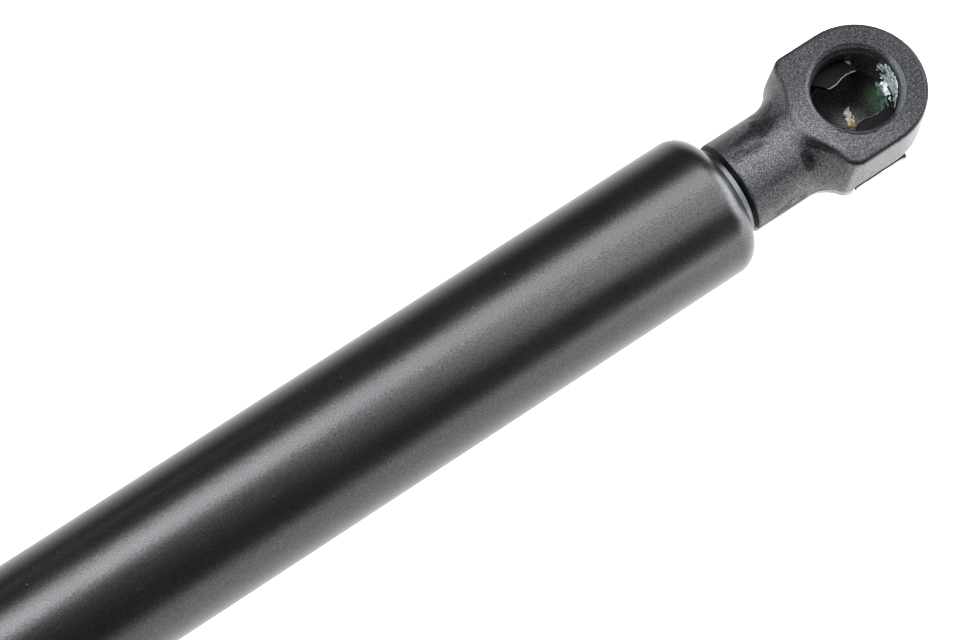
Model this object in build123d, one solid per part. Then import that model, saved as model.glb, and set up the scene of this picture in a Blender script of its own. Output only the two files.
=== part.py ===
from build123d import *
import math
import os

# Gas strut stay, lying along X. Millimetres, +Z up.
# The origin is the middle of the ball that the base socket takes. The rod end points to +X,
# and both sockets open to +Z.

# Driving sizes
stroke = 150.0
length_beyond_strokes = 85.0  # ball middle to ball middle, less twice the stroke
tube_od = 19.0
tube_wall = 1.3
rod_dia = 8.0
thread_dia = 8.0
ball_dia = 10.0

# Clearances
thread_gap = 0.03  # each side of the threads' shared radius
ball_gap = 0.05
running_gap = 0.04  # rod in its bush, wiper and seal
ring_gap = 0.08  # piston ring to tube
fit_gap = 0.1  # loose parts in the tube
clip_gap = 0.3  # spring clip to the housing's slots

# Socket housing, from its own ball middle with the neck along +X
head_half_width = 8.9
head_round_x = -0.35  # middle of the rounded far end
face_height = 6.85  # flat face above the ball middle
face_edge_r = 0.7
mouth_r = 5.5
mouth_chamfer = 0.45
rim_step = 0.25  # the mouth widens by this in its outermost part
rim_depth = 1.35
mouth_floor = 2.0  # height where the mouth starts to narrow to the ball seat
mouth_cone = 0.6  # height of that narrowing
dome_r = 6.8
neck_r = 6.35
neck_end = 19.05
neck_chamfer = 0.25
neck_hole_end = 7.6
neck_hole_chamfer = 0.35
shoulder_sweep_r = 4.2  # concave sweep between neck and head
shoulder_sweep_end = 11.1  # where the sweep runs out on the neck
shoulder_corner_r = 1.8
shoulder_start = 5.9  # where the low ribs beside the clip begin
rib_depth = 2.1

# Spring clip
clip_thickness = 0.6
clip_inner_r = 7.0
strap_start = -2.9
strap_end = 5.6
jaw_start = -3.1
jaw_end = 3.1
jaw_tip_end = 1.5  # the jaw's edge there, after its slanted side
jaw_tip = 2.83  # half the free opening beside the hollow for the ball
jaw_apex = 3.21  # half the free opening in that hollow
jaw_arc_r = 4.0
jaw_arc_x = -1.4
jaw_corner_r = 0.5
jaw_slant_y = 4.6  # where the jaw's slanted side starts
jaw_top = 3.3  # flat jaw above the ball middle
jaw_bend_r = 0.65
slot_depth = 8.2
lip_reach = 8.95
lip_start = -2.3
lip_gap = 0.25  # folded lip to the ledge above it

# Tube and end plug
tube_end = 20.5  # outermost plane of the rolled base end
tube_beyond_stroke = 43.0
base_roll_r = 3.2
base_lip_width = 0.05  # flat of the base lip inside its roll
rod_roll_r = 2.6
bead_from_end = 20.5
bead_depth = 0.9
bead_r = 1.6
boss_gap = 0.25  # boss to the base lip
boss_start = 19.8
boss_chamfer = 0.3
plug_end = 31.0
plug_recess_r = 4.0
plug_recess_depth = 3.0
stud_start = 8.4
stud_chamfer = 0.6
ring_groove_start = 26.0
ring_groove_end = 28.2
ring_section_r = 0.92

# Seal and guide pack, behind the rod end's rolled lip
wiper_wall = 1.2
wiper_gap = 0.25  # wiper to the rod lip
wiper_length = 3.5
wiper_lip_length = 0.9
wiper_relief = 0.5
wiper_chamfer = 0.4
wiper_inset = 0.3  # wiper's face behind the rod lip's
guide_length = 8.4
bush_wall = 0.8
backing_length = 1.0
seal_length = 4.8
seal_groove_length = 2.4  # gas side
seal_lip = 1.2
seal_relief = 0.35
support_length = 1.9
pack_gap = 0.1
washer_gap = 0.3  # flat rings to the rod

# Piston
disc_length = 0.9
piston_length = 4.2
metering_length = 0.6
rivet_length = 1.5
rivet_r = 3.3
rivet_corner_r = 1.0
spigot_r = 2.5
spigot_gap = 0.02
piston_gap = 0.5  # piston to tube
piston_groove_start = 0.8
piston_groove_length = 2.5
piston_groove_depth = 1.0
front_disc_inset = 1.2  # discs' edges inside the piston's
rear_disc_inset = 1.7
metering_inset = 0.1
metering_slot = 1.0  # width of the orifice slot
metering_slot_depth = 2.0
piston_stop_gap = 0.8  # front disc to the tube's bead
tip_gap = 1.0  # rod tip to the floor of the socket's threaded hole
bare_thread = 1.3  # thread that shows between rod and socket

# Derived sizes
tube_r = tube_od / 2
bore_r = tube_r - tube_wall
rod_r = rod_dia / 2
seat_r = ball_dia / 2 + ball_gap
stud_r = thread_dia / 2 - thread_gap
hole_r = thread_dia / 2 + thread_gap
loose_r = bore_r - fit_gap
base_mouth_r = tube_r - base_roll_r - base_lip_width
boss_r = base_mouth_r - boss_gap
wiper_r = rod_r + wiper_wall
rod_mouth_r = wiper_r + wiper_gap
bush_r = rod_r + bush_wall
piston_r = bore_r - piston_gap
extended_length = 2 * stroke + length_beyond_strokes
rod_end = tube_end + stroke + tube_beyond_stroke
bead_middle = rod_end - bead_from_end
bead_half = math.sqrt(bead_r**2 - (bead_r - bead_depth) ** 2)


def turned(points_face):
    """A solid turned about the X axis from a face drawn in the XY plane, Y being the radius."""
    return revolve(points_face, Axis.X, 360)


def ring(start, end, inner, outer):
    """A plain ring about the X axis."""
    section = Pos((start + end) / 2, (inner + outer) / 2) * Rectangle(end - start, outer - inner)
    return turned(section)


def rod_shape(start, end, radius):
    """A plain round bar about the X axis."""
    return Pos(start, 0, 0) * Rot(0, 90, 0) * Cylinder(
        radius, end - start, align=(Align.CENTER, Align.CENTER, Align.MIN)
    )


def block(x0, x1, y0, y1, z0, z1):
    """A box between the given planes."""
    return Pos((x0 + x1) / 2, (y0 + y1) / 2, (z0 + z1) / 2) * Box(x1 - x0, y1 - y0, z1 - z0)


def rolled_tube_section():
    """Half section of the tube wall, from the base lip along the outside to the rod lip and back."""
    base_out = base_roll_r
    base_in = base_roll_r - tube_wall
    rod_out = rod_roll_r
    rod_in = rod_roll_r - tube_wall
    base_c = (tube_end + base_out, tube_r - base_out)
    rod_c = (rod_end - rod_out, tube_r - rod_out)
    left = bead_middle - bead_half
    right = bead_middle + bead_half
    dip = tube_r - bead_depth
    edges = [
        Line((tube_end, base_mouth_r), (tube_end, base_c[1])),
        CenterArc(base_c, base_out, 90, 90),
        Line((base_c[0], tube_r), (left, tube_r)),
        ThreePointArc((left, tube_r), (bead_middle, dip), (right, tube_r)),
        Line((right, tube_r), (rod_c[0], tube_r)),
        CenterArc(rod_c, rod_out, 0, 90),
        Line((rod_end, rod_c[1]), (rod_end, rod_mouth_r)),
        Line((rod_end, rod_mouth_r), (rod_end - tube_wall, rod_mouth_r)),
        Line((rod_end - tube_wall, rod_mouth_r), (rod_end - tube_wall, rod_c[1])),
        CenterArc(rod_c, rod_in, 0, 90),
        Line((rod_c[0], bore_r), (right, bore_r)),
        ThreePointArc((right, bore_r), (bead_middle, bore_r - bead_depth), (left, bore_r)),
        Line((left, bore_r), (base_c[0], bore_r)),
        CenterArc(base_c, base_in, 90, 90),
        Line((tube_end + tube_wall, base_c[1]), (tube_end + tube_wall, base_mouth_r)),
        Line((tube_end + tube_wall, base_mouth_r), (tube_end, base_mouth_r)),
    ]
    return make_face(Wire(edges))


def pressure_tube():
    """Drawn tube with both ends rolled in and one bead that holds the seal pack."""
    return turned(rolled_tube_section())


def base_end_plug():
    """Plug behind the base lip, with its O-ring groove, boss and threaded stud."""
    corner_r = base_roll_r - tube_wall - fit_gap
    front = tube_end + tube_wall
    body = ring(front, plug_end, 0, loose_r)
    body = fillet(body.edges().filter_by(GeomType.CIRCLE).sort_by(Axis.X)[0], corner_r)
    body -= ring(ring_groove_start, ring_groove_end, bore_r - 2 * ring_section_r, bore_r)
    boss = rod_shape(boss_start, front, boss_r)
    boss = chamfer(boss.edges().group_by(Axis.X)[0], boss_chamfer)
    stud = rod_shape(stud_start, boss_start, stud_r)
    stud = chamfer(stud.edges().group_by(Axis.X)[0], stud_chamfer)
    recess = rod_shape(plug_end - plug_recess_depth, plug_end, plug_recess_r)
    return body + boss + stud - recess


def base_plug_seal_ring():
    """O-ring in the end plug's groove."""
    middle = (ring_groove_start + ring_groove_end) / 2
    section = Pos(middle, bore_r - ring_section_r) * Circle(ring_section_r - spigot_gap)
    return turned(section)


def shoulder_cutter():
    """What the concave sweep takes off around the neck, up to the head's shoulder."""
    middle = (shoulder_sweep_end, neck_r + shoulder_sweep_r)
    start = shoulder_sweep_end - shoulder_sweep_r
    end = neck_end + neck_chamfer
    outer = head_half_width + face_height
    edges = [
        CenterArc(middle, shoulder_sweep_r, 180, 90),
        Line((middle[0], neck_r), (end, neck_r)),
        Line((end, neck_r), (end, outer)),
        Line((end, outer), (start, outer)),
        Line((start, outer), (start, middle[1])),
    ]
    return turned(make_face(Wire(edges)))


def head_outline(depth, height):
    """The head's D-shaped plan, from the rounded far end along the neck."""
    plan = Pos(head_round_x, 0) * Circle(head_half_width)
    side_length = neck_end - head_round_x
    plan += Pos(head_round_x + side_length / 2, 0) * Rectangle(side_length, 2 * head_half_width)
    return Pos(0, 0, -depth) * extrude(plan, depth + height)


def on_flank_corner(edge):
    """True for an edge where a straight flank meets the shoulder's sweep."""
    low = edge.bounding_box().min
    high = edge.bounding_box().max
    flat = high.Y - low.Y < fit_gap and abs(abs(low.Y) - head_half_width) < fit_gap
    return flat and low.X > shoulder_start and high.Z - low.Z > rib_depth


def head_block():
    """Upper half of the head and the two low ribs beside the clip, swept into the neck."""
    upper = head_outline(0, face_height)
    ribs = head_outline(rib_depth, 0)
    wide = head_half_width
    ribs &= block(shoulder_start, neck_end, -wide, wide, -rib_depth, 0)
    head = upper + ribs - shoulder_cutter()
    head = fillet(head.edges().filter_by(on_flank_corner), shoulder_corner_r)
    return fillet(head.faces().sort_by(Axis.Z)[-1].outer_wire().edges(), face_edge_r)


def dome():
    """Round back of the head under the clip's strap, ending at the ribs."""
    edges = [
        CenterArc((0, 0), dome_r, 90, 90),
        Line((0, dome_r), (shoulder_start, dome_r)),
        Line((shoulder_start, dome_r), (shoulder_start, 0)),
        Line((shoulder_start, 0), (-dome_r, 0)),
    ]
    wide = head_half_width
    return turned(make_face(Wire(edges))) - block(-wide, wide, -wide, wide, 0, wide)


def ball_cavity():
    """Seat for the ball, open to the mouth through a short cone and a chamfer."""
    wide = mouth_r + rim_step
    rim = wide + mouth_chamfer
    step_height = face_height - rim_depth
    points = [
        (0, 0),
        (seat_r, 0),
        (seat_r, mouth_floor - mouth_cone),
        (mouth_r, mouth_floor),
        (mouth_r, step_height - rim_step),
        (wide, step_height),
        (wide, face_height - mouth_chamfer),
        (rim, face_height),
        (rim, face_height + mouth_chamfer),
        (0, face_height + mouth_chamfer),
    ]
    section = Plane.XZ * make_face(Polyline(*points, close=True))
    return revolve(section, Axis.Z, 360) + Sphere(seat_r)


def clip_slots():
    """The two upright slots in the head's wall for the clip's legs and jaws."""
    x0 = jaw_start - clip_gap
    x1 = jaw_end + clip_gap
    top = jaw_top + clip_gap
    right = block(x0, x1, seat_r / 2, slot_depth, -lip_gap, top)
    left = block(x0, x1, -slot_depth, -seat_r / 2, -lip_gap, top)
    return right + left


def socket_housing():
    """Moulded ball socket with a threaded neck, in its own frame."""
    neck = rod_shape(0, neck_end, neck_r)
    neck = chamfer(neck.edges().group_by(Axis.X)[-1], neck_chamfer)
    body = head_block() + neck + dome()
    body -= ball_cavity()
    body -= clip_slots()
    hole = rod_shape(neck_hole_end, neck_end, hole_r)
    flare = 2 * neck_hole_chamfer
    hole += Pos(neck_end, 0, 0) * Rot(0, 90, 0) * Cone(hole_r, hole_r + flare, flare)
    return body - hole


def jaw_opening(side):
    """What the two jaws leave open: a straight gap, a round hollow for the ball, slanted sides."""
    end = jaw_end + clip_gap
    slant = make_face(
        Polyline(
            (jaw_tip_end, side * jaw_tip),
            (jaw_end, side * jaw_slant_y),
            (end, side * jaw_slant_y),
            (end, side * jaw_tip),
            close=True,
        )
    )
    plan = Rectangle(2 * end, 2 * jaw_tip) + slant
    plan += Pos(jaw_arc_x, side * (jaw_apex - jaw_arc_r)) * Circle(jaw_arc_r)
    return extrude(plan, jaw_top + clip_gap)


def jaw_and_leg(side):
    """One leg of the clip with its flat inward jaw, bent from strip, on the given side."""
    leg_y = clip_inner_r + clip_thickness / 2
    jaw_z = jaw_top - clip_thickness / 2
    path = FilletPolyline(
        (side * leg_y, -lip_gap - clip_thickness / 2),
        (side * leg_y, jaw_z),
        (side * (jaw_tip - clip_thickness), jaw_z),
        radius=jaw_bend_r,
    )
    strip = Plane.YZ * make_face(offset(path, clip_thickness / 2, kind=Kind.INTERSECTION))
    leg = Pos(jaw_start, 0, 0) * extrude(strip, jaw_end - jaw_start, dir=(1, 0, 0))
    leg -= jaw_opening(side)
    upright = leg.edges().filter_by(Axis.Z)
    corner = upright.sort_by_distance((jaw_tip_end, side * jaw_tip, jaw_top))[0]
    return fillet(corner, jaw_corner_r)


def clip_lip(side):
    """Strip folded out and back at the top of the strap, where a blade lifts the clip."""
    inner = clip_inner_r + clip_thickness / 4
    y0 = min(side * inner, side * lip_reach)
    y1 = max(side * inner, side * lip_reach)
    lip = block(lip_start, strap_end, y0, y1, -lip_gap - 2 * clip_thickness, -lip_gap)
    fold = lip.edges().filter_by(Axis.X).group_by(Axis.Y)[-1 if side > 0 else 0]
    return fillet(fold, 0.8 * clip_thickness)


def socket_clip():
    """Spring-steel strap around the back of a socket, in the socket's own frame."""
    outer_r = clip_inner_r + clip_thickness
    strap = ring(strap_start, strap_end, clip_inner_r, outer_r)
    strap -= block(strap_start, strap_end, -outer_r, outer_r, -lip_gap, outer_r)
    clip = strap
    for side in (-1, 1):
        clip += jaw_and_leg(side)
        clip += clip_lip(side)
    return clip


def at_rod_end(shape):
    """Turns a socket part to face the base and puts it on the rod end's ball middle."""
    return Pos(extended_length, 0, 0) * Rot(0, 0, 180) * shape


def rod_guide_parts():
    """Wiper, guide, bush, washers and seal, from the rod lip inward."""
    guide_front = rod_end - tube_wall - pack_gap / 2
    guide_back = guide_front - guide_length
    wiper_start = rod_end - wiper_inset - wiper_length
    corner_r = rod_roll_r - tube_wall - fit_gap
    guide = ring(guide_back, guide_front, bush_r + spigot_gap, loose_r)
    guide = fillet(guide.edges().group_by(Axis.X)[-1].sort_by(SortBy.RADIUS)[-1], corner_r)
    guide -= ring(wiper_start - pack_gap, guide_front, 0, wiper_r + pack_gap)
    bush_end = wiper_start - 2 * pack_gap
    bush = ring(guide_back + 2 * pack_gap, bush_end, rod_r + running_gap, bush_r)
    wiper_end = wiper_start + wiper_length
    wiper = ring(wiper_start, wiper_end, rod_r + wiper_relief, wiper_r)
    wiper += ring(wiper_end - wiper_lip_length, wiper_end, rod_r + running_gap, wiper_r)
    wiper = chamfer(wiper.edges().group_by(Axis.X)[-1].sort_by(SortBy.RADIUS)[-1], wiper_chamfer)
    backing_end = guide_back - pack_gap
    backing = ring(backing_end - backing_length, backing_end, rod_r + washer_gap, loose_r)
    seal_end = backing_end - backing_length - pack_gap
    seal_start = seal_end - seal_length
    seal = ring(seal_start, seal_end, rod_r + running_gap, loose_r + fit_gap / 2)
    seal -= ring(seal_start, seal_start + seal_groove_length, rod_r + seal_lip, loose_r - seal_lip)
    relief_start = seal_start + seal_groove_length + seal_relief
    seal -= ring(relief_start, seal_end - 2 * seal_relief, 0, rod_r + seal_relief)
    support_end = seal_start - pack_gap
    support = ring(support_end - support_length, support_end, rod_r + washer_gap, loose_r)
    return {
        "rod_guide_body": guide,
        "guide_sliding_bush": bush,
        "rod_wiper": wiper,
        "seal_backing_washer": backing,
        "rod_seal": seal,
        "seal_support_ring": support,
    }


def piston_parts():
    """Rod, discs, piston and its ring with the rod fully out."""
    front = bead_middle - bead_half - piston_stop_gap
    body_end = front - disc_length
    body_start = body_end - piston_length
    metering_start = body_start - metering_length
    rear_start = metering_start - disc_length
    rivet_start = rear_start - rivet_length
    groove_start = body_start + piston_groove_start
    groove_end = groove_start + piston_groove_length
    rod_tip = extended_length - neck_hole_end - tip_gap
    smooth_end = extended_length - neck_end - bare_thread
    rod = rod_shape(front, smooth_end, rod_r) + rod_shape(smooth_end, rod_tip, stud_r)
    rod = chamfer(rod.edges().group_by(Axis.X)[-1], stud_chamfer)
    rod += rod_shape(rivet_start + rivet_length / 2, front, spigot_r)
    rivet = rod_shape(rivet_start, rear_start, rivet_r)
    rod += fillet(rivet.edges().group_by(Axis.X)[0], rivet_corner_r)
    bore = spigot_r + spigot_gap
    front_disc = ring(body_end, front, bore, piston_r - front_disc_inset)
    body = ring(body_start, body_end, bore, piston_r)
    groove_r = piston_r - piston_groove_depth
    body -= ring(groove_start, groove_end, groove_r, piston_r)
    ring_start = groove_start + fit_gap
    piston_ring = ring(ring_start, groove_end - fit_gap, groove_r + fit_gap, bore_r - ring_gap)
    metering = ring(metering_start, body_start, bore, piston_r - metering_inset)
    slot_floor = piston_r - metering_slot_depth
    half_slot = metering_slot / 2
    metering -= block(metering_start, body_start, slot_floor, bore_r, -half_slot, half_slot)
    rear_disc = ring(rear_start, metering_start, bore, piston_r - rear_disc_inset)
    return {
        "piston_rod": rod,
        "piston_front_disc": front_disc,
        "piston_body": body,
        "piston_ring": piston_ring,
        "metering_disc": metering,
        "piston_rear_disc": rear_disc,
    }


parts = {
    "pressure_tube": pressure_tube(),
    "base_end_plug": base_end_plug(),
    "base_plug_seal_ring": base_plug_seal_ring(),
    "base_socket_housing": socket_housing(),
    "base_socket_clip": socket_clip(),
    "rod_socket_housing": at_rod_end(socket_housing()),
    "rod_socket_clip": at_rod_end(socket_clip()),
}
parts.update(rod_guide_parts())
parts.update(piston_parts())

os.makedirs("parts", exist_ok=True)
for name, shape in parts.items():
    export_step(shape, f"parts/{name}.step")
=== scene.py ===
# Gas strut stay: black painted pressure tube, chromed rod, moulded ball socket on each end.
# Metres, +Z up, strut along X. The base ball's middle is the origin, the rod end is at +X.
import bpy
import bmesh
import math
from mathutils import Matrix, Vector, noise


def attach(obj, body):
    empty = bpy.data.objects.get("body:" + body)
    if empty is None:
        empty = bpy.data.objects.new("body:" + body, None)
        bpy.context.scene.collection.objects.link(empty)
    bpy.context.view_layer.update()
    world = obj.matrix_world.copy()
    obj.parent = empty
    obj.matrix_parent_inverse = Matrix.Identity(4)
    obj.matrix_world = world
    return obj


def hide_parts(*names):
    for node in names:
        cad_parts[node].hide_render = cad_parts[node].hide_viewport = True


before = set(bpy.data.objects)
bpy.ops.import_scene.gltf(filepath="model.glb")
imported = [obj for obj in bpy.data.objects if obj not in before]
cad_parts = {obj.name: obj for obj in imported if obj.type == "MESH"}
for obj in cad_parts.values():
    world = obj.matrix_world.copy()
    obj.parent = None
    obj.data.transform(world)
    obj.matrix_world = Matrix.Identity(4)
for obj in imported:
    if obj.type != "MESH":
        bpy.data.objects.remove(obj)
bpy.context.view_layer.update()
mm = 0.001
strutLength = 0.385  # from one ball's middle to the other's
print("stage: frame loaded")


def hexColour(text):
    # sRGB hex to the linear values that shaders take
    channels = [int(text[i:i + 2], 16) / 255 for i in (1, 3, 5)]
    linear = [c / 12.92 if c <= 0.04045 else ((c + 0.055) / 1.055) ** 2.4 for c in channels]
    return (*linear, 1.0)


def setInputs(tree, node, inputs):
    # an input is a number, a colour, a socket, or a node, which gives its first live output
    for key, value in inputs.items():
        if isinstance(value, bpy.types.Node):
            value = next(output for output in value.outputs if output.enabled)
        if isinstance(value, bpy.types.NodeSocket):
            tree.links.new(value, node.inputs[key])
        else:
            node.inputs[key].default_value = value


def addNode(tree, kind, inputs=None, **settings):
    # one node, its settings and its inputs
    node = tree.nodes.new(kind)
    for key, value in settings.items():
        setattr(node, key, value)
    setInputs(tree, node, inputs or {})
    return node


def startMaterial(name, shader):
    # a principled surface with its constant values set on the shader itself
    material = bpy.data.materials.new(name)
    material.use_nodes = True
    tree = material.node_tree
    tree.nodes.clear()
    surface = addNode(tree, "ShaderNodeBsdfPrincipled", shader)
    addNode(tree, "ShaderNodeOutputMaterial", {"Surface": surface})
    place = addNode(tree, "ShaderNodeTexCoord").outputs["Object"]
    return material, tree, surface, place


def grain(tree, place, size, detail=2.0, stretch=(1, 1, 1)):
    # soft noise whose lumps are about size millimetres across
    turned = addNode(tree, "ShaderNodeMapping", {"Vector": place, "Scale": stretch})
    return addNode(tree, "ShaderNodeTexNoise", {
        "Vector": turned, "Scale": 1 / (size * mm * 2), "Detail": detail})


grainy = (0.3, 0.7)  # noise mostly stays between these


def multiplied(tree, *factors):
    # A factor is a ready value, or a change: the value that it follows, the zone of that value
    # over which it changes, what it changes from and to, and "eased" for a soft start and end.
    total = None
    for factor in factors:
        if isinstance(factor, tuple):
            follows, zone, ends, *eased = factor
            factor = addNode(tree, "ShaderNodeMapRange", {
                "Value": follows, "From Min": zone[0], "From Max": zone[1],
                "To Min": ends[0], "To Max": ends[1]},
                interpolation_type="SMOOTHSTEP" if eased else "LINEAR")
        total = factor if total is None else addNode(
            tree, "ShaderNodeMath", {0: total, 1: factor}, operation="MULTIPLY")
    return total


def layered(tree, base, *layers):
    # a base colour with layers over it, each a pair: how much of it shows, from 0 to 1, and its colour
    tone = hexColour(base) if isinstance(base, str) else base
    for cover, colour in layers:
        colour = hexColour(colour) if isinstance(colour, str) else colour
        tone = addNode(tree, "ShaderNodeMix", {0: cover, 6: tone, 7: colour}, data_type="RGBA")
    return tone


def relief(tree, *layers):
    # bumps laid one on another, each a pair: its height from 0 to 1, and its depth in millimetres
    inputs = {}
    for height, depth in layers:
        inputs.update({"Height": height, "Distance": depth * mm, "Strength": 1.0})
        inputs["Normal"] = addNode(tree, "ShaderNodeBump", inputs)
    return inputs["Normal"]


def inMetres(zones):
    return {name: (start * mm, end * mm) for name, (start, end) in zones.items()}


def offset(tree, value, middle):
    # how far value is from middle, either way
    gap = addNode(tree, "ShaderNodeMath", {0: value, 1: middle}, operation="SUBTRACT")
    return addNode(tree, "ShaderNodeMath", {0: gap}, operation="ABSOLUTE")


def fromNearerBall(tree, x):
    # how far in from the nearer ball's middle, positive towards the strut's middle
    middle = strutLength / 2
    return addNode(tree, "ShaderNodeMath", {0: middle, 1: offset(tree, x, middle)},
                   operation="SUBTRACT")


def surfaceNormal(tree):
    # the surface's own direction in the object's frame: X, Y, Z
    direction = addNode(tree, "ShaderNodeTexCoord").outputs["Normal"]
    return addNode(tree, "ShaderNodeSeparateXYZ", {0: direction}).outputs


def stain(tree, place, centre, reach, ragged):
    # 1 inside a soft ellipse seen from above, with an uneven border; millimetres
    border = {"raggedness": 1.3, "zone": (1.3, 1.85)}
    moved = addNode(tree, "ShaderNodeVectorMath", {
        0: place, 1: (centre[0] * mm, centre[1] * mm, 0)}, operation="SUBTRACT")
    sized = addNode(tree, "ShaderNodeVectorMath", {
        0: moved, 1: (1 / (reach[0] * mm), 1 / (reach[1] * mm), 0)}, operation="MULTIPLY")
    distance = addNode(tree, "ShaderNodeVectorMath", {0: sized}, operation="LENGTH")
    torn = addNode(tree, "ShaderNodeMath", {0: ragged, 1: border["raggedness"], 2: distance},
                   operation="MULTIPLY_ADD")
    return multiplied(tree, (torn, border["zone"], (1, 0), "eased"))


def satinBlackPaint():
    # Wet-sprayed black enamel on drawn steel: deep black, broad satin gloss, faint orange peel,
    # a fine dry-spray grain in the highlights, a few nibs and pale specks of dust. The dry-spray
    # grain is drawn a little coarser than a real one, so that it shows.
    size = {"wide": 9, "cloud": 3.5, "peel": 0.9, "drySpray": 0.065, "dustApart": 2.4, "nibsApart": 7}
    depth = {"peel": 0.0035, "drySpray": 0.005, "nib": 0.035}
    material, tree, surface, place = startMaterial("satin_black_enamel_on_steel", {
        "Base Color": hexColour("#040405"), "IOR": 1.5})
    dust = addNode(tree, "ShaderNodeTexVoronoi", {
        "Vector": place, "Scale": 1 / (size["dustApart"] * mm)})
    nibs = addNode(tree, "ShaderNodeTexVoronoi", {
        "Vector": place, "Scale": 1 / (size["nibsApart"] * mm)})
    drySpray = grain(tree, place, size["drySpray"], 2)
    setInputs(tree, surface, {
        "Base Color": layered(
            tree, "#030304", (grain(tree, place, size["wide"], 3), "#050506"),
            (multiplied(tree, (dust, (0.025, 0.045), (0.8, 0))), "#4c4c4a")),
        "Roughness": multiplied(tree, (grain(tree, place, size["cloud"], 4), grainy, (0.27, 0.31))),
        "Specular IOR Level": multiplied(tree, (drySpray, grainy, (0.24, 0.78))),
        "Normal": relief(
            tree, (grain(tree, place, size["peel"], 2), depth["peel"]), (drySpray, depth["drySpray"]),
            (multiplied(tree, (nibs, (0.016, 0.034), (1, 0), "eased")), depth["nib"]))})
    return material


# Where the nylon's surface changes, in millimetres: where each change starts and where it ends.
# Heights are above the ball's middle, along and inward run from it along the strut, and aside is
# the distance from the ball's upright axis.
nylonZone = inMetres({
    "neckAlong": (8.4, 9.4),
    "roundingHeight": (5.8, 6.1), "roundingAside": (7, 7.5),
    "crackWidth": (0.03, 0.08), "crackY": (2.6, 3.6), "crackInward": (0.8, 1.6),
    "crackHeight": (6.5, 6.7), "seamWidth": (0.12, 0.26),
    "rimInner": (5.56, 5.66), "rimOuter": (6.2, 6.35), "rimHeight": (5.15, 5.35),
    "rimFar": (4.2, 5.4),
    "greaseReach": (1.1, 4.6), "seatRadius": (5.4, 5.7),
    "faceHeight": (6.35, 6.75), "faceSlope": (-8, 8), "spillY": (1, 6.5), "spillInward": (1.5, 4),
    "lowerHalf": (-0.3, -0.12), "boreAside": (5.45, 5.7), "cornerInward": (6.8, 7.4),
    "polishedHeight": (-0.4, -0.2), "polishedAside": (7, 7.5),
})

# greasy stains on the base socket's neck: (middle, half sizes, strength), millimetres
neckStains = (
    ((13.6, -2.65), (3.4, 0.8), 0.85), ((15.4, -0.7), (1.7, 0.7), 0.8),
    ((17.4, -0.9), (1.3, 0.9), 0.6), ((10.2, 3.9), (0.9, 1.2), 1),
    ((14.6, 3.9), (2.8, 0.4), 0.4), ((15.6, 5.4), (3, 0.5), 0.35),
)


def headMeasures(tree, place):
    # what every mask on the nylon is measured by, the same at both sockets
    split = addNode(tree, "ShaderNodeSeparateXYZ", {0: place}).outputs
    normal = surfaceNormal(tree)
    inward = fromNearerBall(tree, split[0])
    along = addNode(tree, "ShaderNodeMath", {0: inward}, operation="ABSOLUTE")
    squares = addNode(tree, "ShaderNodeMath", {
        0: multiplied(tree, along, along), 1: multiplied(tree, split[1], split[1])}, operation="ADD")
    aside = addNode(tree, "ShaderNodeMath", {0: squares}, operation="SQRT")
    return {"y": split[1], "z": split[2], "inward": inward, "along": along, "aside": aside,
            "normalX": normal[0], "normalY": normal[1], "normalZ": normal[2]}


def roundingPaintedShade(tree, at):
    # the rounded edge of the flat face on the +Y side, which is painted dark there as painted shade
    return multiplied(
        tree,
        (at["normalZ"], (0.84, 0.93), (1, 0)), (at["normalZ"], (0.25, 0.5), (0, 1)),
        (at["z"], nylonZone["roundingHeight"], (0, 1)),
        (at["aside"], nylonZone["roundingAside"], (0, 1)),
        (at["normalY"], (-0.1, 0.3), (0, 1)))


def greasySmears(tree, place, onNeck):
    # smears on the neck, torn lengthwise
    worn = grain(tree, place, 1.9, 6, (0.55, 1, 1))
    patch = multiplied(tree, (worn, (0.50, 0.58), (0, 1), "eased"))
    torn = multiplied(tree, (grain(tree, place, 0.12, 2, (0.2, 1, 1)), (0.35, 0.6), (0.55, 1)))
    fibres = grain(tree, place, 0.5, 4, (0.5, 1, 1))
    for centre, reach, strength in neckStains:
        mark = multiplied(tree, stain(tree, place, centre, reach, fibres), strength)
        patch = addNode(tree, "ShaderNodeMath", {0: patch, 1: mark}, operation="MAXIMUM")
    return multiplied(tree, patch, torn, onNeck)


def flashAndSeam(tree, place, at, onNeck):
    # the flash torn off along the mouth, and the mould's parting line
    flash = {"radius": 6.68, "waver": 0.5, "waverSize": 0.5}
    reach = addNode(tree, "ShaderNodeMath", {
        0: grain(tree, place, flash["waverSize"], 3), 1: flash["waver"] * mm, 2: at["aside"]},
        operation="MULTIPLY_ADD")
    crack = multiplied(
        tree,
        (offset(tree, reach, flash["radius"] * mm), nylonZone["crackWidth"], (1, 0)),
        (at["y"], nylonZone["crackY"], (0, 1), "eased"),
        (at["inward"], nylonZone["crackInward"], (0, 1), "eased"),
        (at["z"], nylonZone["crackHeight"], (0, 1)))
    height = addNode(tree, "ShaderNodeMath", {0: at["z"]}, operation="ABSOLUTE")
    upright = addNode(tree, "ShaderNodeMath", {0: at["normalZ"]}, operation="ABSOLUTE")
    seam = multiplied(tree, (height, nylonZone["seamWidth"], (1, 0), "eased"),
                      (upright, (0.5, 0.8), (1, 0)))
    return addNode(tree, "ShaderNodeMath", {0: crack, 1: multiplied(tree, seam, onNeck)},
                   operation="MAXIMUM")


def mouthRim(tree, at):
    # the ring round the mouth
    return multiplied(
        tree,
        (at["aside"], nylonZone["rimInner"], (0, 1)), (at["aside"], nylonZone["rimOuter"], (1, 0)),
        (at["z"], nylonZone["rimHeight"], (0, 1)))


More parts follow.
